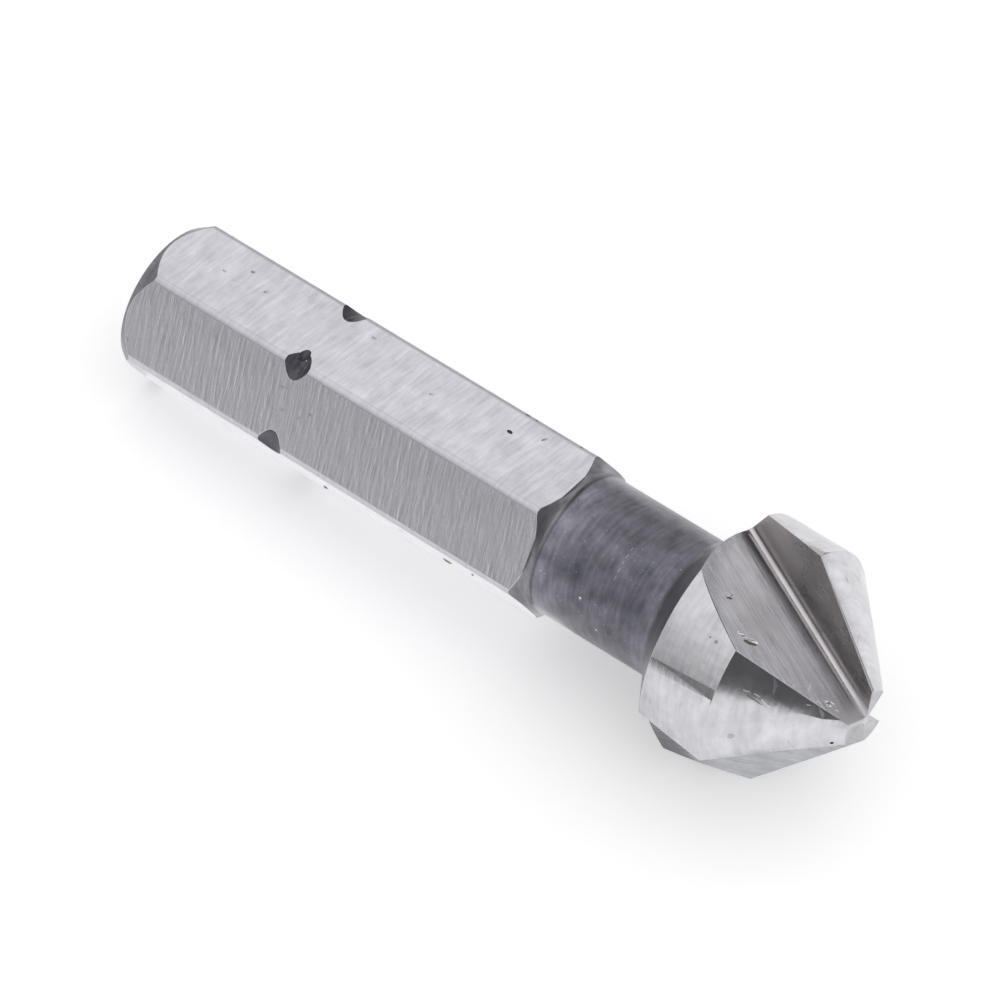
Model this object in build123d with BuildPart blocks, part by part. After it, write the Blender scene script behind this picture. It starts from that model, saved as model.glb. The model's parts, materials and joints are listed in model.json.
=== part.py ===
"""Three-flute countersink bit on a quarter-inch hexagon shank, one piece of ground tool steel.

The bit is built upright, with its shank end at z = 0 and its tip at the top, and then laid down
as it comes to rest on a table: on one flat of the shank and on the widest edge of one land.
Angles round the bit start at the middle of the flat that it rests on.
"""
import os
from math import atan2, cos, degrees, radians, sin, tan

from build123d import *

# Hexagon shank
hex_across_flats = 6.35
hex_corner_radius = 0.35
hex_length = 20.15  # shank end to front bevel, along a corner
shank_end_diameter = 6.15
shank_end_bevel_angle = 32.0  # to the bit's axis
front_bevel_angle = 48.0  # to the bit's axis

# Retaining notches, turned across the six corners
notch_centre = 8.12  # from the shank end
notch_bottom_diameter = 6.74
notch_radius = 0.8

# Neck
neck_diameter = 6.0
neck_root_radius = 0.25  # between the front bevel and the neck
head_root_radius = 0.5  # between the neck and the back of the head

# Head
overall_length = 34.65
head_diameter = 10.4  # over the cutting corners
head_back_angle = 56.0  # back cone to the bit's axis
cone_angle = 90.0  # included angle of the cutting cone
tip_diameter = 2.6
land_length = 2.95  # straight part of each land, along the axis
land_relief = 0.12  # shift of each land's own axis, so that its heel clears the hole

# Flutes: straight V grooves that run out towards the shank
flute_count = 3
cutting_edge_angle = 36.0  # first cutting corner, from the middle of the resting flat
flute_angle = 71.0  # rake face to back face
flute_root_radius = 0.25
root_at_tip = (0.06, -0.05)  # flute root from the bit's axis, with the cutting corner on +X
root_slope = 27.1  # flute root to the bit's axis, seen across the flute
root_lean = 7.2  # flute root to the bit's axis, seen from the cutting corner
rake_angle = 11.3  # rake face to the radius through the cutting corner

# Shank and neck sizes that follow
hex_flat_radius = hex_across_flats / 2
sharp_corner_radius = hex_flat_radius / cos(radians(30))
corner_loss = hex_corner_radius * (1 / cos(radians(30)) - 1)
corner_reach = sharp_corner_radius - corner_loss
shank_end_radius = shank_end_diameter / 2
shank_end_slope = tan(radians(shank_end_bevel_angle))
neck_radius = neck_diameter / 2
front_bevel_slope = tan(radians(front_bevel_angle))
neck_start = hex_length + (corner_reach - neck_radius) / front_bevel_slope

# Head sizes that follow
head_radius = head_diameter / 2
tip_radius = tip_diameter / 2
cone_slope = tan(radians(cone_angle / 2))
land_front = overall_length - (head_radius - tip_radius) / cone_slope
land_back = land_front - land_length
head_back_slope = tan(radians(head_back_angle))
head_back_start = land_back - (head_radius - neck_radius) / head_back_slope
flute_pitch = 360 / flute_count
neck_middle = (neck_start + head_back_start) / 2
clear_radius = 2 * head_radius  # well outside the metal

# Bar stock: hexagon for the shank, round for the neck and the head
with BuildPart() as blank:
    with BuildSketch(Plane.XY) as hexagon:
        RegularPolygon(hex_flat_radius, 6, major_radius=False, rotation=30)
        fillet(hexagon.vertices(), hex_corner_radius)
    extrude(amount=neck_middle)
    with BuildSketch(Plane.XY.offset(neck_middle)):
        Circle(head_radius)
    extrude(amount=overall_length - neck_middle)

    # Turned outline: end bevel, front bevel, neck, back cone, cutting cone and flat tip
    with BuildSketch(Plane.XZ):
        with BuildLine():
            shank_outline = Polyline(
                (0, 0),
                (shank_end_radius, 0),
                (sharp_corner_radius, (sharp_corner_radius - shank_end_radius) / shank_end_slope),
                (sharp_corner_radius, neck_start - (sharp_corner_radius - neck_radius) / front_bevel_slope),
            )
            neck_outline = FilletPolyline(
                shank_outline @ 1,
                (neck_radius, neck_start),
                (neck_radius, head_back_start),
                (head_radius, land_back),
                radius=[neck_root_radius, head_root_radius],
            )
            Polyline(
                neck_outline @ 1,
                (head_radius, land_front),
                (tip_radius, overall_length),
                (0, overall_length),
                (0, 0),
            )
        make_face()
    revolve(axis=Axis.Z, mode=Mode.INTERSECT)

    # Retaining notches: one groove, shallow enough to miss the flats
    with BuildSketch(Plane.XZ):
        with Locations((notch_bottom_diameter / 2 + notch_radius, notch_centre)):
            Circle(notch_radius)
    revolve(axis=Axis.Z, mode=Mode.SUBTRACT)

# Relieved land, its cutting edge on the +X side: the same head turned about its own, shifted
# axis, and cut to the sector from the middle of one flute to the middle of the next
with BuildPart() as land:
    with BuildSketch(Plane.XZ.offset(-land_relief)):
        with BuildLine():
            Polyline(
                (0, 0),
                (head_radius, 0),
                (head_radius, land_front),
                (tip_radius, overall_length),
                (0, overall_length),
                close=True,
            )
        make_face()
    revolve(axis=Axis((0, land_relief, 0), (0, 0, 1)))
    with BuildSketch(Plane.XY):
        with BuildLine():
            sector_ends = [
                (clear_radius * cos(radians(angle)), clear_radius * sin(radians(angle)))
                for angle in (-0.75 * flute_pitch, -0.25 * flute_pitch, 0.25 * flute_pitch)
            ]
            Polyline((0, 0), *sector_ends, close=True)
        make_face()
    extrude(amount=overall_length, mode=Mode.INTERSECT)


# Flute with its cutting corner on +X: the V section stands square to the root and is drawn out
# past the tip one way, and clear of the head the other way
root_direction = Vector(-tan(radians(root_slope)), tan(radians(root_lean)), 1).normalized()
rake_direction = Vector(cos(radians(rake_angle)), sin(radians(rake_angle)), 0)
across_root = Plane(
    origin=(*root_at_tip, overall_length),
    x_dir=rake_direction - root_direction * rake_direction.dot(root_direction),
    z_dir=root_direction,
)
flute_reach = clear_radius * sin(radians(flute_angle))
with BuildPart() as flute:
    with BuildSketch(across_root) as flute_section:
        with BuildLine():
            Polyline(
                (0, 0),
                (clear_radius, 0),
                (clear_radius, flute_reach),
                (clear_radius * cos(radians(flute_angle)), flute_reach),
                close=True,
            )
        make_face()
        root_corner = flute_section.vertices().sort_by_distance(across_root.origin)[0]
        fillet(root_corner, flute_root_radius)
    extrude(amount=head_radius)
    extrude(flute_section.sketch, amount=-head_radius / sin(radians(root_slope)) - head_radius)

with BuildPart() as lands:
    with PolarLocations(0, flute_count, start_angle=cutting_edge_angle):
        add(land.part)

with BuildPart() as upright_bit:
    add(blank.part)
    add(lands.part, mode=Mode.INTERSECT)
    with PolarLocations(0, flute_count, start_angle=cutting_edge_angle):
        add(flute.part, mode=Mode.SUBTRACT)

# Lying down: the resting flat touches at the end of its bevel, and the land below the head at
# its widest edge, which is a little inside the cutting corners because the land is relieved
flat_contact_height = max(0, (hex_flat_radius - shank_end_radius) / shank_end_slope)
head_contact_radius = head_radius - land_relief * sin(radians(cutting_edge_angle))
resting_tilt = atan2(head_contact_radius - hex_flat_radius, land_front - flat_contact_height)
lying = Plane(
    origin=(0, 0, 0),
    x_dir=(sin(resting_tilt), 0, -cos(resting_tilt)),
    z_dir=(cos(resting_tilt), 0, sin(resting_tilt)),
)
laid_bit = lying.location * upright_bit.part
outer_box = laid_bit.bounding_box()

with BuildPart() as countersink_bit:
    with Locations((-outer_box.center().X, -outer_box.center().Y, -outer_box.min.Z)):
        add(laid_bit)

countersink_bit.part.label = "countersink_bit"
os.makedirs("parts", exist_ok=True)
export_step(countersink_bit.part, "parts/countersink_bit.step")
print(f"resting tilt {degrees(resting_tilt):.2f} deg, volume {countersink_bit.part.volume:.1f} mm3")
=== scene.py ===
"""A three-flute countersink bit in bare tool steel, lying on a white table in a light tent.

The bit is one piece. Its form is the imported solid; here its edges get their small breaks and
nicks, and each machined surface gets its own finish. Lengths are in metres, except where a name
or a comment says millimetres.
"""
import json
from math import atan2, cos, degrees, radians, sin, tan

import bmesh
import bpy
from mathutils import Matrix, Vector
from mathutils.bvhtree import BVHTree
from mathutils.interpolate import poly_3d_calc


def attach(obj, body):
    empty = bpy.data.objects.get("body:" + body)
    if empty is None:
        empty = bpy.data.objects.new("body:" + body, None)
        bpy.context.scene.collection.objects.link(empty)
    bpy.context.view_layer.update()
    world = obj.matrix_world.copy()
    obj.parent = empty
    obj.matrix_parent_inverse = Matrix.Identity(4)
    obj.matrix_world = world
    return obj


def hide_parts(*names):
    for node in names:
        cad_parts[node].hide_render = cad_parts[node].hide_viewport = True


MM = 0.001

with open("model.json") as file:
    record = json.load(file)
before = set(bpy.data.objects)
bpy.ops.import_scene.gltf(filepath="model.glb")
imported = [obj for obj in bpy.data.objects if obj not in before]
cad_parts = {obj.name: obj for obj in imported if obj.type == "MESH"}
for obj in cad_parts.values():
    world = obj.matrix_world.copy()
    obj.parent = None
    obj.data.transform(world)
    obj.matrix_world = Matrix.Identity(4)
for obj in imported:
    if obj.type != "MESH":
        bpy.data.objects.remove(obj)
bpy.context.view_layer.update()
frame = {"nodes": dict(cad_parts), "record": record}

# ---------------------------------------------------------------- the bit's own frame
# Z runs along the bit from the middle of its shank end, and -X points up, out of the top flat.

shank_end = next(mount for mount in frame["record"]["mounts"] if mount["name"] == "shank_end")
bit_origin = Vector(shank_end["pos_m"])
bit_z = -Vector(shank_end["axis"]).normalized()
bit_y = Vector((0, 1, 0))
bit_x = bit_y.cross(bit_z)
bit_frame = Matrix((bit_x, bit_y, bit_z)).transposed().to_4x4()
bit_frame.translation = bit_origin
to_bit = bit_frame.inverted()

# Sizes that the finishes follow. Those along the bit are measured from its shank end.
hex_front_mm = 20.15
notch_centre_mm = 8.12
notch_half_mm = 1.0
neck_radius_mm = 3.0
head_back_mm = 26.3
rim_mm = 27.75
overall_mm = 34.65

# The flutes. Angles round the bit start at the middle of the flat that it rests on.
flute_count = 3
flute_pitch = radians(360 / flute_count)
first_flute = radians(36)  # at its cutting corner
flute_middle = radians(22)  # past the cutting corner
root_at_tip_mm = (0.06, -0.05)
root_slope = radians(27.1)
root_lean = radians(7.2)
rake_angle = radians(11.3)
flute_opening = 71  # rake face to back face, in degrees
root_along = Vector((-tan(root_slope), tan(root_lean), 1)).normalized()
rake_outward = Vector((cos(rake_angle), sin(rake_angle), 0))
rake_facing = root_along.cross(rake_outward).normalized()
rake_across = rake_facing.cross(root_along)
back_turn = radians(flute_opening - 90)
back_facing = rake_across * cos(back_turn) + rake_facing * sin(back_turn)


# ---------------------------------------------------------------- nodes

def feed(tree, socket, value):
    """Gives a socket a plain value, or the output of another node."""
    if isinstance(value, bpy.types.NodeSocket):
        tree.links.new(value, socket)
    else:
        socket.default_value = value


def add_node(tree, kind, inputs=(), **properties):
    """A new node. Its inputs go by their names, or by their numbers where names repeat."""
    node = tree.nodes.new(kind)
    for name, value in properties.items():
        setattr(node, name, value)
    for socket, value in dict(inputs).items():
        feed(tree, node.inputs[socket], value)
    return node


def placed(tree, vector, origin=(0, 0, 0), turn=(0, 0, 0), unit=(1, 1, 1)):
    """Coordinates in a frame with this origin and turn, where a unit is this long each way."""
    inputs = {"Vector": vector, "Location": origin, "Rotation": turn, "Scale": unit}
    return add_node(tree, "ShaderNodeMapping", inputs, vector_type="TEXTURE").outputs["Vector"]


def arithmetic(tree, operation, a, b):
    return add_node(tree, "ShaderNodeMath", {0: a, 1: b}, operation=operation).outputs["Value"]


def ramp(tree, value, low, high, start=0.0, end=1.0):
    """Maps value from the range low..high onto start..end, and holds it there."""
    inputs = {"Value": value, "From Min": low, "From Max": high, "To Min": start, "To Max": end}
    return add_node(tree, "ShaderNodeMapRange", inputs, clamp=True).outputs["Result"]


def noise(tree, vector, scale=1.0, detail=2.0, roughness=0.5):
    """Soft patches from 0 to 1, about as many to a unit as the scale."""
    inputs = {"Vector": vector, "Scale": scale, "Detail": detail, "Roughness": roughness}
    return add_node(tree, "ShaderNodeTexNoise", inputs).outputs["Fac"]


# The colour sockets of a Mix node
mix_low = 6
mix_high = 7
mixed = 2


def blend_colours(tree, factor, low, high):
    """A colour between low and high. Each is an (r, g, b) or another colour."""
    inputs = {"Factor": factor}
    for socket, colour in ((mix_low, low), (mix_high, high)):
        inputs[socket] = (*colour, 1) if isinstance(colour, tuple) else colour
    return add_node(tree, "ShaderNodeMix", inputs, data_type="RGBA").outputs[mixed]


# ---------------------------------------------------------------- places on the bit

flattening = 1000  # Z is divided by this, so that it no longer counts in a distance


def bit_coordinates(tree):
    """Object coordinates turned into the bit's own frame, in millimetres."""
    coordinates = add_node(tree, "ShaderNodeTexCoord")
    turn = bit_frame.to_euler()
    return placed(tree, coordinates.outputs["Object"], bit_origin, turn, (MM, MM, MM))


def flute_place(tree, bit):
    """Places in any of the three flutes, as seen in the first one: Z runs along its root."""
    split = add_node(tree, "ShaderNodeSeparateXYZ", {"Vector": bit})
    around = arithmetic(tree, "ARCTAN2", split.outputs["Y"], split.outputs["X"])
    past_first = arithmetic(tree, "SUBTRACT", around, first_flute + flute_middle)
    flute = arithmetic(tree, "ROUND", arithmetic(tree, "DIVIDE", past_first, flute_pitch), 0)
    turn_back = arithmetic(tree, "MULTIPLY", flute, -flute_pitch)
    angle = arithmetic(tree, "SUBTRACT", turn_back, first_flute)
    fold = add_node(tree, "ShaderNodeVectorRotate", {"Vector": bit, "Angle": angle},
                    rotation_type="Z_AXIS")
    section = Matrix((rake_across, rake_facing, root_along)).transposed()
    return placed(tree, fold.outputs["Vector"], (*root_at_tip_mm, overall_mm), section.to_euler())


def distance_along(tree, vector):
    return add_node(tree, "ShaderNodeSeparateXYZ", {"Vector": vector}).outputs["Z"]


def distance_outwards(tree, vector):
    """The distance from the Z axis."""
    flat = placed(tree, vector, unit=(1, 1, flattening))
    return add_node(tree, "ShaderNodeVectorMath", {0: flat}, operation="LENGTH").outputs["Value"]


def band(tree, bit, way, start_mm, end_mm, before, after):
    """A level that changes from before to after, along the bit or outwards from its axis."""
    distance = {"along": distance_along, "outwards": distance_outwards}[way]
    return ramp(tree, distance(tree, bit), start_mm, end_mm, before, after)


# ---------------------------------------------------------------- steel

# The grain: the size of one line each way, and the number of patches to a line in line_patches
# and to a millimetre in the others
ground_line_mm = (1.3, 1.3, 0.16)  # runs round the bit
ground_line_turn = (radians(5), radians(-9), 0)
flute_line_mm = (0.16, 0.16, 2.2)  # runs along the root
line_patches = dict(scale=1.0, detail=2.0, roughness=0.55)
cloud_patches = dict(scale=1.1, detail=4.0, roughness=0.6)
dullest = 0.3  # level of the grain that has a finish's dull colour
brightest = 0.7  # level that has its bright colour
gloss_swing = 0.06  # either side of a finish's roughness
oil_roughness = 0.35

# Pits and sparks: where in their patches they begin and are full, and their colours
pit_patches = dict(scale=2.6, detail=5.0, roughness=0.7)
pit_edge = (0.66, 0.74)
pit_shade = 0.3  # of the dull colour
spark_patches = dict(scale=11.0, detail=1.0)
spark_edge = (0.72, 0.78)
spark_colour = (0.8, 0.8, 0.84)

# The painted shade beside a flute's root, and the wear at the tip
root_shade_start_mm = (0.23, 0.32)  # from the middle of the root's curve
root_shade_full_mm = 0.38
root_shade_run_mm = (28.0, 34.2)
root_shade_at_tip = 0.6
root_shade_level = 0.05  # of the dull colour
wear_mm = (33.8, 34.35)
worn_colour = (0.68, 0.665, 0.69)
wear_roughness = 0.25  # added to the finish's own


def darker(colour, share):
    return tuple(share * part for part in colour)


def spotted(tree, bit, colour, patches, edge, strength, spot_colour):
    """A colour with small spots of another one on it."""
    spots = ramp(tree, noise(tree, bit, **patches), *edge, 0.0, strength)
    return blend_colours(tree, spots, colour, spot_colour)


def with_root_shade(tree, bit, place, colour, strength, reach_mm, root_shade_colour):
    """A colour with painted shade at either side of a flute's round root, weaker at the tip."""
    away = distance_outwards(tree, place)
    starts = ramp(tree, away, *root_shade_start_mm)
    ends = ramp(tree, away, root_shade_full_mm, reach_mm, 1.0, 0.0)
    fading = band(tree, bit, "along", *root_shade_run_mm, strength, root_shade_at_tip * strength)
    root_shade_mask = arithmetic(tree, "MULTIPLY", arithmetic(tree, "MULTIPLY", starts, ends), fading)
    return blend_colours(tree, root_shade_mask, colour, root_shade_colour)


def painted_in_bands(tree, bit, colour, painted_light_bands):
    """A colour made lighter or darker in bands of painted light and shade."""
    for lightness in painted_light_bands:
        inputs = {0: colour, "Scale": band(tree, bit, *lightness)}
        scaled = add_node(tree, "ShaderNodeVectorMath", inputs, operation="SCALE")
        colour = scaled.outputs["Vector"]
    return colour


def steel(name, dull, bright, roughness, spread=0.0, along_root=False, line_share=0.6,
          line_depth_mm=0.01, pits=0.0, sparks=0.0, oil=0.0, root_shade=0.0, root_shade_reach_mm=1.0,
          painted_light_bands=(), dull_band=None, worn_tip=False):
    """Bare steel with a one-way grain: its colour runs from dull to bright across the lines."""
    material = bpy.data.materials.new(name)
    material.use_nodes = True
    tree = material.node_tree
    shader = tree.nodes["Principled BSDF"]
    bit = bit_coordinates(tree)
    if along_root:
        place = flute_place(tree, bit)
        line_place = placed(tree, place, unit=flute_line_mm)
    else:
        line_place = placed(tree, bit, turn=ground_line_turn, unit=ground_line_mm)
    lines = noise(tree, line_place, **line_patches)
    clouds = noise(tree, bit, **cloud_patches)
    shade = arithmetic(tree, "ADD", arithmetic(tree, "MULTIPLY", lines, line_share),
                       arithmetic(tree, "MULTIPLY", clouds, 1 - line_share))

    colour = blend_colours(tree, ramp(tree, shade, dullest, brightest), dull, bright)
    # Painted shade beside the flute's root
    if root_shade:
        root_shade_colour = darker(dull, root_shade_level)
        colour = with_root_shade(tree, bit, place, colour, root_shade, root_shade_reach_mm, root_shade_colour)
    if pits:
        pit_colour = darker(dull, pit_shade)
        colour = spotted(tree, bit, colour, pit_patches, pit_edge, pits, pit_colour)
    if sparks:
        colour = spotted(tree, bit, colour, spark_patches, spark_edge, sparks, spark_colour)
    # Painted light and shade, in bands along the bit or outwards from it
    colour = painted_in_bands(tree, bit, colour, painted_light_bands)

    gloss = ramp(tree, shade, dullest, brightest, roughness + gloss_swing, roughness - gloss_swing)
    if dull_band:
        gloss = arithmetic(tree, "ADD", gloss, band(tree, bit, *dull_band))
    if worn_tip:
        wear = band(tree, bit, "along", *wear_mm, 0.0, 1.0)
        colour = blend_colours(tree, wear, colour, worn_colour)
        rougher = arithmetic(tree, "MULTIPLY", wear, wear_roughness)
        gloss = arithmetic(tree, "ADD", gloss, rougher)

    bump_inputs = {"Strength": 1.0, "Distance": line_depth_mm * MM, "Height": lines}
    bump = add_node(tree, "ShaderNodeBump", bump_inputs)
    feed(tree, shader.inputs["Metallic"], 1.0)
    feed(tree, shader.inputs["Base Color"], colour)
    feed(tree, shader.inputs["Roughness"], gloss)
    feed(tree, shader.inputs["Normal"], bump.outputs["Normal"])
    feed(tree, shader.inputs["Coat Weight"], oil)
    feed(tree, shader.inputs["Coat Roughness"], oil_roughness)
    if spread:
        along = add_node(tree, "ShaderNodeCombineXYZ", zip("XYZ", bit_z))
        feed(tree, shader.inputs["Anisotropic"], spread)
        feed(tree, shader.inputs["Tangent"], along.outputs["Vector"])
    return material


# Painted light and shade in bands, given by their way, start and end in millimetres, and level before
# and after.
finish_values = {
    "ground_flat": dict(
        dull=(0.65, 0.645, 0.69), bright=(0.85, 0.845, 0.89), roughness=0.25, spread=0.7,
        line_share=0.5, line_depth_mm=0.012, pits=0.4,
    ),
    # The rounded corners between the flats: the flats' ground steel made darker, as painted shade over
    # their highlight
    "shaded_ground_corner": dict(
        dull=(0.58, 0.57, 0.62), bright=(0.69, 0.68, 0.73), roughness=0.25, spread=0.5,
        line_depth_mm=0.008,
    ),
    "ground_land": dict(
        dull=(0.56, 0.55, 0.58), bright=(0.82, 0.81, 0.835), roughness=0.17, spread=0.8,
        line_share=0.35, line_depth_mm=0.005, pits=0.4,
        painted_light_bands=[("along", 27.8, 30.9, 0.92, 1.02)],
    ),
    "ground_tip": dict(
        dull=(0.44, 0.43, 0.455), bright=(0.76, 0.75, 0.775), roughness=0.34,
        line_share=0.5, line_depth_mm=0.03,
    ),
    "ground_flute": dict(
        dull=(0.57, 0.575, 0.625), bright=(0.88, 0.885, 0.93), roughness=0.24, along_root=True,
        line_depth_mm=0.03, root_shade=0.9, root_shade_reach_mm=1.1, worn_tip=True,
        painted_light_bands=[("along", 27.4, 29.5, 0.86, 1.0)],
    ),
    "ground_root": dict(
        dull=(0.60, 0.575, 0.59), bright=(0.73, 0.70, 0.715), roughness=0.28, along_root=True,
        line_share=0.5, line_depth_mm=0.006, root_shade=0.7, root_shade_reach_mm=1.1, worn_tip=True,
    ),
    "ground_rake": dict(
        dull=(0.62, 0.585, 0.575), bright=(0.75, 0.71, 0.70), roughness=0.25, along_root=True,
        line_share=0.3, line_depth_mm=0.006, root_shade=0.5, root_shade_reach_mm=0.6,
        painted_light_bands=[("along", 28.6, 30.2, 1.4, 1.0), ("along", 32.5, 34.0, 1.0, 0.8)],
        dull_band=("along", 28.6, 30.4, 0.12, 0.0),
    ),
    "turned_neck": dict(
        dull=(0.068, 0.068, 0.092), bright=(0.235, 0.23, 0.272), roughness=0.44,
        line_share=0.35, line_depth_mm=0.015, pits=0.5, sparks=0.4, oil=1.0,
        painted_light_bands=[("along", 20.9, 22.4, 1.6, 1.0), ("along", 25.2, 26.1, 1.0, 1.2),
               ("along", 26.2, 26.5, 1.0, 0.48)],
    ),
    "turned_end": dict(
        dull=(0.072, 0.072, 0.096), bright=(0.225, 0.22, 0.265), roughness=0.44,
        line_share=0.4, line_depth_mm=0.015, pits=0.4, sparks=0.4, oil=1.0,
    ),
    "turned_bevel": dict(
        dull=(0.22, 0.22, 0.24), bright=(0.46, 0.46, 0.485), roughness=0.36, line_depth_mm=0.02,
        painted_light_bands=[("outwards", 3.02, 3.09, 0.65, 1.0), ("outwards", 3.05, 3.25, 1.1, 0.9)],
    ),
    "black_scale": dict(
        dull=(0.045, 0.045, 0.055), bright=(0.16, 0.16, 0.18), roughness=0.42,
        line_share=0.2, line_depth_mm=0.06, sparks=0.6,
    ),
    "bright_burr": dict(
        dull=(0.82, 0.81, 0.77), bright=(0.97, 0.96, 0.93), roughness=0.28, line_share=0.3,
    ),
    "fresh_chip": dict(
        dull=(0.72, 0.71, 0.68), bright=(0.90, 0.89, 0.87), roughness=0.3, line_share=0.3,
    ),
    "faint_dent": dict(
        dull=(0.50, 0.495, 0.53), bright=(0.66, 0.655, 0.69), roughness=0.35, line_share=0.3,
    ),
    "dull_dent": dict(
        dull=(0.36, 0.355, 0.38), bright=(0.52, 0.515, 0.54), roughness=0.45, line_share=0.3,
    ),
    # Dark dents and specks, and also painted shadow under the burrs
    "dark_dent_and_shadow": dict(
        dull=(0.17, 0.165, 0.145), bright=(0.32, 0.31, 0.28), roughness=0.45, line_share=0.3,
    ),
    "deep_pit": dict(
        dull=(0.06, 0.05, 0.04), bright=(0.14, 0.13, 0.11), roughness=0.5, line_share=0.3,
    ),
}
finishes = {name: steel(name, **values) for name, values in finish_values.items()}
finish_order = list(finishes)


# ---------------------------------------------------------------- which finish goes where

# Limits that tell the surfaces apart. A look is the part of a face's normal towards the tip.
hex_sides_end_mm = hex_front_mm + 0.3
bevel_start_mm = hex_front_mm - 1
bevel_end_mm = hex_front_mm + 1.2
shank_core_mm = neck_radius_mm - 0.3  # radius that every side of the shank is outside
neck_fillet_mm = neck_radius_mm + 0.03  # radius that the fillet behind the head starts from
side_look = 0.02
flat_step = 60  # from one flat to the next, in degrees
flat_tolerance = 0.3  # in degrees
bevel_look = 0.3
fillet_look = 0.1
back_cone_look = -0.5
tip_look = 0.99
cutting_cone_look = 0.7071
cutting_cone_tolerance = 0.03
land_outward = 0.6  # how far a land's normal points away from the axis
same_way = 0.9995  # cosine between two normals of one plane


def shank_finish(place, look):
    """The finish of a face on the shank."""
    if abs(look.z) < side_look and place.z < hex_sides_end_mm:
        around = degrees(atan2(look.y, look.x))
        off_flat = (around + flat_step / 2) % flat_step - flat_step / 2
        return "ground_flat" if abs(off_flat) < flat_tolerance else "shaded_ground_corner"
    if abs(place.z - notch_centre_mm) < notch_half_mm:
        return "black_scale"
    if place.z > bevel_start_mm and look.z > bevel_look:
        return "turned_bevel"
    return "turned_end"


def flute_finish(look):
    """The finish of a face in a flute: on its rake, on its back or in the root between them."""
    for flute in range(flute_count):
        turn = Matrix.Rotation(first_flute + flute * flute_pitch, 3, "Z")
        if look.dot(turn @ rake_facing) > same_way:
            return "ground_rake"
        if look.dot(turn @ back_facing) > same_way:
            return "ground_flute"
    return "ground_root"


def finish_of(face):
    """Which machined surface a face belongs to, from where it is and where it looks."""
    place = to_bit @ face.calc_center_median() / MM
    look = to_bit.to_3x3() @ face.normal
    radius = place.xy.length
    if place.z < bevel_end_mm and radius > shank_core_mm:
        return shank_finish(place, look)
    in_fillet = radius < neck_fillet_mm and look.z < fillet_look and place.z < rim_mm
    if place.z < head_back_mm or in_fillet or look.z < back_cone_look:
        return "turned_neck"
    if look.z > tip_look:
        return "ground_tip"
    on_cone = abs(look.z - cutting_cone_look) < cutting_cone_tolerance
    outward = look.xy.dot(place.xy.normalized())
    if outward > land_outward and (abs(look.z) < side_look or on_cone):
        return "ground_land"
    return flute_finish(look)


# ---------------------------------------------------------------- knocks and burrs

# Knocks and scratches: distance from the shank end, angle round the bit, length, width and depth,
# and how far the mark's long side is turned from the bit's axis. In millimetres and degrees.
knocks = {
    "black_scale": [
        (8.04, -159.3, 0.38, 0.76, 0.09, 0),
    ],
    "deep_pit": [
        (16.77, 168.7, 0.27, 0.16, 0.08, -5),
        (34.30, -85.0, 0.16, 0.13, 0.05, 0),
    ],
    "dark_dent_and_shadow": [
        # The first three lie under burrs; their dark colour is painted shadow
        (29.01, -162.2, 0.32, 0.10, 0.03, 64),
        (30.71, -148.2, 0.66, 0.22, 0.04, 57),
        (33.66, -138.4, 0.16, 0.08, 0.03, 58),
        (31.93, -122.2, 1.00, 0.05, 0.01, -16),
        (23.23, -144.6, 0.26, 0.10, 0.03, 60),
        (16.76, 150.5, 0.24, 0.12, 0.04, 0),
        (17.20, 150.5, 0.14, 0.10, 0.04, 0),
        (19.40, 150.5, 0.15, 0.10, 0.04, 0),
    ],
    "dull_dent": [
        (3.63, 165.4, 0.18, 0.14, 0.03, 20),
        (7.84, -131.6, 0.22, 0.12, 0.03, 20),
        (9.42, -124.6, 0.16, 0.13, 0.03, 0),
        (14.21, -66.0, 0.30, 0.16, 0.03, 0),
        (29.90, -140.5, 0.15, 0.14, 0.02, 0),
        (29.60, -140.9, 0.08, 0.10, 0.02, 0),
    ],
    "faint_dent": [
        (9.58, 160.5, 0.20, 0.13, 0.02, 0),
        (13.19, 175.6, 0.20, 0.11, 0.02, 30),
        (18.07, 159.5, 0.32, 0.13, 0.03, 66),
        (2.74, 176.9, 0.18, 0.12, 0.02, 0),
        (4.72, 174.1, 0.22, 0.12, 0.02, 60),
        (31.54, -98.8, 0.30, 0.24, 0.01, 0),
        (31.55, 141.8, 0.34, 0.06, 0.01, 7),
        (24.00, -163.0, 0.22, 0.03, 0.015, 88),
        (24.02, -157.0, 0.26, 0.03, 0.015, 88),
        (24.03, -151.0, 0.20, 0.03, 0.015, 88),
        (24.05, -145.0, 0.26, 0.03, 0.015, 88),
        (24.07, -138.5, 0.22, 0.03, 0.015, 88),
    ],
    "fresh_chip": [
        (23.03, -110.5, 0.13, 0.10, 0.02, 0),
        (23.98, -90.8, 0.12, 0.08, 0.02, 0),
    ],
}

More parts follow.
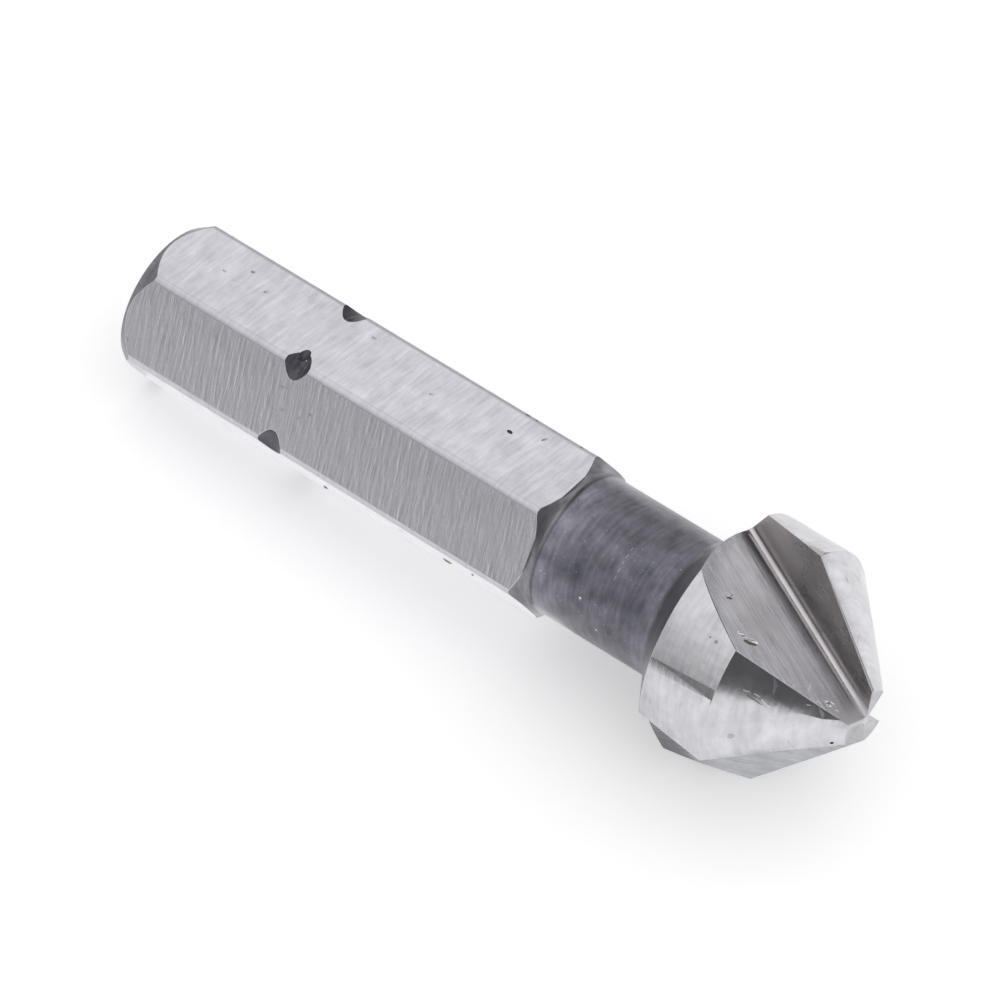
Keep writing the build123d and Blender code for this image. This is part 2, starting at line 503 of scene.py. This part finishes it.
# Burrs, specks and the turned-up edges of chips, which stand proud. A height takes the depth's place.
burrs = {
    "bright_burr": [
        (28.88, -163.8, 0.55, 0.18, 0.06, 73),
        (30.35, -149.5, 0.46, 0.19, 0.08, 36),
        (30.67, -149.9, 0.72, 0.18, 0.09, 55),
        (33.58, -139.4, 0.32, 0.12, 0.05, 82),
        (33.76, -139.9, 0.30, 0.11, 0.05, 25),
        (33.75, -136.0, 0.28, 0.10, 0.05, 54),
        (32.67, -139.2, 0.14, 0.09, 0.04, 54),
        (33.49, -135.8, 0.18, 0.09, 0.04, 48),
        (34.03, -133.9, 0.16, 0.08, 0.04, 28),
        (32.91, -144.1, 0.62, 0.07, 0.04, -61),
    ],
    "faint_dent": [
        (31.57, -126.2, 0.32, 0.07, 0.03, -3),
        (31.90, -125.6, 0.34, 0.06, 0.03, -13),
        (33.34, -130.3, 0.18, 0.05, 0.02, 5),
    ],
    "fresh_chip": [
        (32.21, -122.4, 0.50, 0.09, 0.04, -23),
    ],
    "dark_dent_and_shadow": [
        (9.80, -42.0, 0.22, 0.20, 0.05, 0),
        (16.24, -52.0, 0.46, 0.24, 0.05, 0),
        (17.86, -68.0, 0.12, 0.12, 0.04, 0),
    ],
}

probe_radius_mm = 9  # outside the bit, where the search for a mark's spot starts
half_size_share = 0.58  # half of an ellipsoid, against its outline in the surface
half_height_share = 2  # half of an ellipsoid's height, against the depth of its mark
sunk = 1
proud = -1


def new_object(name, shape, materials):
    """An object at the origin, made from a bmesh that isn't needed afterwards."""
    mesh = bpy.data.meshes.new(name)
    shape.to_mesh(mesh)
    shape.free()
    for material in materials:
        mesh.materials.append(material)
    piece = bpy.data.objects.new(name, mesh)
    bpy.context.scene.collection.objects.link(piece)
    return piece


def place_of_mark(surface, along, around, lift_mm, turn):
    """Where a mark lies: its Z points out of the surface, from a middle lifted off it."""
    outward = Vector((cos(radians(around)), sin(radians(around)), 0))
    start = bit_frame @ ((outward * probe_radius_mm + Vector((0, 0, along))) * MM)
    spot, facing, _, _ = surface.ray_cast(start, bit_frame.to_3x3() @ -outward)
    side = bit_z.cross(facing).normalized()
    lie = Matrix((side.cross(facing), side, facing)).transposed().to_4x4()
    centre = Matrix.Translation(spot + facing * lift_mm * MM)
    return centre @ lie @ Matrix.Rotation(radians(turn), 4, "Z")


def flat_ellipsoids(name, surface, kinds, side):
    """One mesh of flat ellipsoids, one on each mark, a quarter of whose height is past the surface.

    That quarter lies below the surface where the side is sunk, and above it where it is proud.
    """
    shape = bmesh.new()
    for finish, marks in kinds.items():
        for along, around, length, width, depth, turn in marks:
            place = place_of_mark(surface, along, around, side * depth, turn)
            half = Vector((half_size_share * length, half_size_share * width, half_height_share * depth))
            new = bmesh.ops.create_icosphere(shape, subdivisions=3, radius=1)["verts"]
            bmesh.ops.scale(shape, vec=half * MM, verts=new)
            bmesh.ops.transform(shape, matrix=place, verts=new)
            for face in {face for vert in new for face in vert.link_faces}:
                face.material_index = finish_order.index(finish)
                face.smooth = True
    return new_object(name, shape, finishes.values())


# ---------------------------------------------------------------- the bit

weld_distance = 2e-6
coplanar_angle = radians(0.1)
edge_angle = radians(13)
edge_break_mm = 0.02
knock_edge_angle = radians(25)
plane_area_mm2 = 5  # a ground plane is larger than this, and a strip of a round face smaller
inset_share = 0.02  # moves a corner just inside its own face


def merged_copy(node):
    """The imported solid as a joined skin, with one face to a plane and a finish on every face."""
    shape = bmesh.new()
    shape.from_mesh(node.data)
    bmesh.ops.remove_doubles(shape, verts=shape.verts, dist=weld_distance)
    for face in shape.faces:
        face.material_index = finish_order.index(finish_of(face))
        face.smooth = True
    bmesh.ops.dissolve_limit(shape, angle_limit=coplanar_angle, verts=shape.verts,
                             edges=shape.edges, delimit={"MATERIAL"})
    return shape


def settle(piece):
    """Makes a piece's modifiers part of its mesh, and returns the new mesh."""
    bpy.context.view_layer.update()
    shown = piece.evaluated_get(bpy.context.evaluated_depsgraph_get())
    mesh = bpy.data.meshes.new_from_object(shown)
    piece.modifiers.clear()
    piece.data = mesh
    return mesh


def break_edges(piece):
    """Small rounded breaks on the sharp edges, with flat shading on the planes between them."""
    piece.data.set_sharp_from_angle(angle=edge_angle)
    breaks = piece.modifiers.new("edge breaks", "BEVEL")
    breaks.width = edge_break_mm * MM
    breaks.segments = 2
    breaks.limit_method = "ANGLE"
    breaks.angle_limit = edge_angle
    breaks.use_clamp_overlap = False
    even = piece.modifiers.new("even shading", "WEIGHTED_NORMAL")
    even.weight = 100
    even.keep_sharp = True
    return settle(piece)


def keep_shading(cut, before):
    """Gives the surfaces round the knocks the smooth shading that they had before."""
    corners = before.vertices
    faces = [list(face.vertices) for face in before.polygons]
    nearest = BVHTree.FromPolygons([corner.co for corner in corners], faces)
    marks = [finish_order.index(finish) for finish in knocks]
    normals = [Vector((0, 0, 0))] * len(cut.loops)
    for face in cut.polygons:
        if face.material_index in marks:
            continue
        under = before.polygons[nearest.find_nearest(face.center)[2]]
        if under.area > plane_area_mm2 * MM * MM:
            for loop in face.loop_indices:
                normals[loop] = under.normal.copy()
            continue
        for loop in face.loop_indices:
            point = cut.vertices[cut.loops[loop].vertex_index].co.lerp(face.center, inset_share)
            index = nearest.find_nearest(point)[2]
            outline = [corners[vertex].co for vertex in faces[index]]
            shares = poly_3d_calc(outline, point)
            normal = Vector((0, 0, 0))
            for share, corner in zip(shares, before.polygons[index].loop_indices):
                normal += share * before.corner_normals[corner].vector
            normals[loop] = normal.normalized()
    cut.normals_split_custom_set(normals)


def knock(piece, surface):
    """Cuts the knocks and scratches into a piece."""
    cutters = flat_ellipsoids("knock_cutters", surface, knocks, sunk)
    cut = piece.modifiers.new("knocks", "BOOLEAN")
    cut.operation = "DIFFERENCE"
    cut.object = cutters
    cut.solver = "EXACT"
    knocked = settle(piece)
    bpy.data.objects.remove(cutters)
    knocked.set_sharp_from_angle(angle=knock_edge_angle)
    return knocked


def dressed_bit():
    """The bit with broken edges, knocks, burrs and a finish on every surface."""
    shape = merged_copy(frame["nodes"]["countersink_bit"])
    surface = BVHTree.FromBMesh(shape)
    piece = new_object("countersink_bit_steel", shape, finishes.values())
    whole = break_edges(piece)
    knocked = knock(piece, surface)
    keep_shading(knocked, whole)
    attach(piece, "root")
    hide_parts("countersink_bit")

    edge_burrs = flat_ellipsoids("edge_burrs", surface, burrs, proud)
    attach(edge_burrs, "root")


dressed_bit()

# ---------------------------------------------------------------- table, tent and camera

round_segments = 96
table_radius = 1.2
table_white = (0.93, 0.93, 0.93)
table_glow = 0.32
table_glow_in_metal = 0.55  # of that glow
strip_lift_mm = 0.05  # above the table

# The tent's light, from its foot to its top: heights from 0 to 1, with a level at each
tent_foot = (0.38, 0.38, 0.39, 1)
tent_top = (1.0, 1.0, 1.0, 1)
tent_steps = ((0.09, 0.42), (0.19, 0.54), (0.42, 0.66), (0.74, 0.88), (0.87, 0.96))
tent_blue = 1.01

view_from = Vector((0.11459, -0.15974, 0.24415))
look_at = Vector((-0.000145, -0.000376, 0.004859))
roll = radians(4.5)
lens_mm = 288
sensor_mm = 36
nearest_view = 0.01


def matt(name, colour):
    """A colour without any gloss."""
    material = bpy.data.materials.new(name)
    material.use_nodes = True
    shader = material.node_tree.nodes["Principled BSDF"]
    shader.inputs["Base Color"].default_value = (*colour, 1)
    shader.inputs["Roughness"].default_value = 1.0
    shader.inputs["Specular IOR Level"].default_value = 0.0
    return material


def even_card(name, colour):
    """A colour that looks the same however it is lit."""
    material = matt(name, (0, 0, 0))
    shader = material.node_tree.nodes["Principled BSDF"]
    shader.inputs["Emission Color"].default_value = (*colour, 1)
    shader.inputs["Emission Strength"].default_value = 1.0
    return material


def white_table():
    """Matt white. About a third of its white shows even in shade, and half as much in the metal."""
    material = matt("white_table", table_white)
    tree = material.node_tree
    rays = add_node(tree, "ShaderNodeLightPath").outputs
    in_view = arithmetic(tree, "ADD", rays["Is Camera Ray"], rays["Is Transmission Ray"])
    in_metal = arithmetic(tree, "MULTIPLY", rays["Is Glossy Ray"], table_glow_in_metal)
    seen = arithmetic(tree, "ADD", in_view, in_metal)
    shader = tree.nodes["Principled BSDF"]
    feed(tree, shader.inputs["Emission Color"], (1, 1, 1, 1))
    feed(tree, shader.inputs["Emission Strength"], arithmetic(tree, "MULTIPLY", seen, table_glow))
    return material


def only_in_the_metal(piece):
    """Hides a piece from view. It lights nothing and casts no shadow, but shows in the metal."""
    piece.visible_camera = False
    piece.visible_diffuse = False
    piece.visible_shadow = False


def table():
    shape = bmesh.new()
    bmesh.ops.create_circle(shape, cap_ends=True, segments=round_segments, radius=table_radius)
    top = new_object("table", shape, [white_table()])


def painted_floor_strip(name, x_range, y_range, shade):
    """A card under the bit, shown only in the metal, with painted light and shadow of the table."""
    shape = bmesh.new()
    bmesh.ops.create_grid(shape, x_segments=1, y_segments=1, size=0.5)
    bmesh.ops.translate(shape, vec=(0.5, 0.5, 0), verts=shape.verts)
    extent = (x_range[1] - x_range[0], y_range[1] - y_range[0], 1)
    bmesh.ops.scale(shape, vec=extent, verts=shape.verts)
    corner = (x_range[0], y_range[0], strip_lift_mm * MM)
    bmesh.ops.translate(shape, vec=corner, verts=shape.verts)
    strip = new_object(name, shape, [even_card(name, (shade, shade, shade))])
    only_in_the_metal(strip)


def seam(name, radius, low, high, shade):
    """A dark ring low round the tent, between two elevations in degrees."""
    bottom = radius * tan(radians(low))
    top = radius * tan(radians(high))
    shape = bmesh.new()
    bmesh.ops.create_cone(shape, cap_ends=False, segments=round_segments, radius1=radius,
                          radius2=radius, depth=top - bottom)
    bmesh.ops.translate(shape, vec=(0, 0, (bottom + top) / 2), verts=shape.verts)
    ring = new_object(name, shape, [even_card(name, (shade, shade, shade))])
    only_in_the_metal(ring)


def direction(azimuth, elevation):
    """From the bit outwards. Azimuth 0 is +X, 90 is +Y, in degrees."""
    flat = cos(radians(elevation))
    return Vector((flat * cos(radians(azimuth)), flat * sin(radians(azimuth)), sin(radians(elevation))))


def flag(name, azimuth, elevation, distance, width, height, material):
    """A dark card beside the bit, facing it."""
    shape = bmesh.new()
    bmesh.ops.create_grid(shape, x_segments=1, y_segments=1, size=0.5)
    bmesh.ops.scale(shape, vec=(width, height, 1), verts=shape.verts)
    out = direction(azimuth, elevation)
    facing = out.to_track_quat("Z", "Y").to_matrix().to_4x4()
    place = Matrix.Translation(out * distance) @ facing
    bmesh.ops.transform(shape, matrix=place, verts=shape.verts)
    panel = new_object(name, shape, [material])
    only_in_the_metal(panel)


def tent():
    """The light all round, as the world."""
    world = bpy.data.worlds.new("tent")
    bpy.context.scene.world = world
    world.use_nodes = True
    tree = world.node_tree
    background = tree.nodes["Background"]
    coordinates = add_node(tree, "ShaderNodeTexCoord")
    height = distance_along(tree, coordinates.outputs["Generated"])
    shades = add_node(tree, "ShaderNodeValToRGB", {"Fac": height})
    steps = shades.color_ramp.elements
    steps[0].position, steps[0].color = 0.0, tent_foot
    steps[1].position, steps[1].color = 1.0, tent_top
    for place, level in tent_steps:
        step = steps.new(place)
        step.color = (level, level, level * tent_blue, 1)
    feed(tree, background.inputs["Color"], shades.outputs["Color"])
    feed(tree, background.inputs["Strength"], 1.0)


def camera():
    """Looks down along the bit from its tip's side, with a long lens, a little rolled."""
    lens = bpy.data.cameras.new("camera")
    lens.lens = lens_mm
    lens.sensor_width = sensor_mm
    lens.clip_start = nearest_view
    holder = bpy.data.objects.new("camera", lens)
    holder.location = view_from
    aim = (look_at - view_from).to_track_quat("-Z", "Y").to_matrix().to_4x4()
    holder.rotation_euler = (aim @ Matrix.Rotation(roll, 4, "Z")).to_euler()
    bpy.context.scene.collection.objects.link(holder)
    bpy.context.scene.camera = holder


table()
seam("tent_seam", radius=0.50, low=1.3, high=6.8, shade=0.26)
seam("tent_hem", radius=0.49, low=3.5, high=5.3, shade=0.0)
tent()
# Painted reflections of the table: light where the bit's shadow lies, and painted shadow under the head
painted_floor_strip("lit_strip", x_range=(-0.017, 0.004), y_range=(-0.0033, 0.0001), shade=1.0)
painted_floor_strip("dark_strip", x_range=(0.0085, 0.0120), y_range=(-0.0062, -0.0012), shade=0.27)
painted_floor_strip("shaded_strip", x_range=(0.0120, 0.0190), y_range=(-0.0062, -0.0012), shade=0.60)
flag("flag_right", azimuth=-12, elevation=15, distance=0.3, width=0.42, height=0.17,
     material=even_card("black_card", (0.082, 0.08, 0.084)))
flag("flag_back", azimuth=66, elevation=60, distance=0.4, width=0.30, height=0.42,
     material=even_card("dark_card", (0.06, 0.05, 0.045)))
camera()

scene = bpy.context.scene
scene.view_settings.view_transform = "Standard"
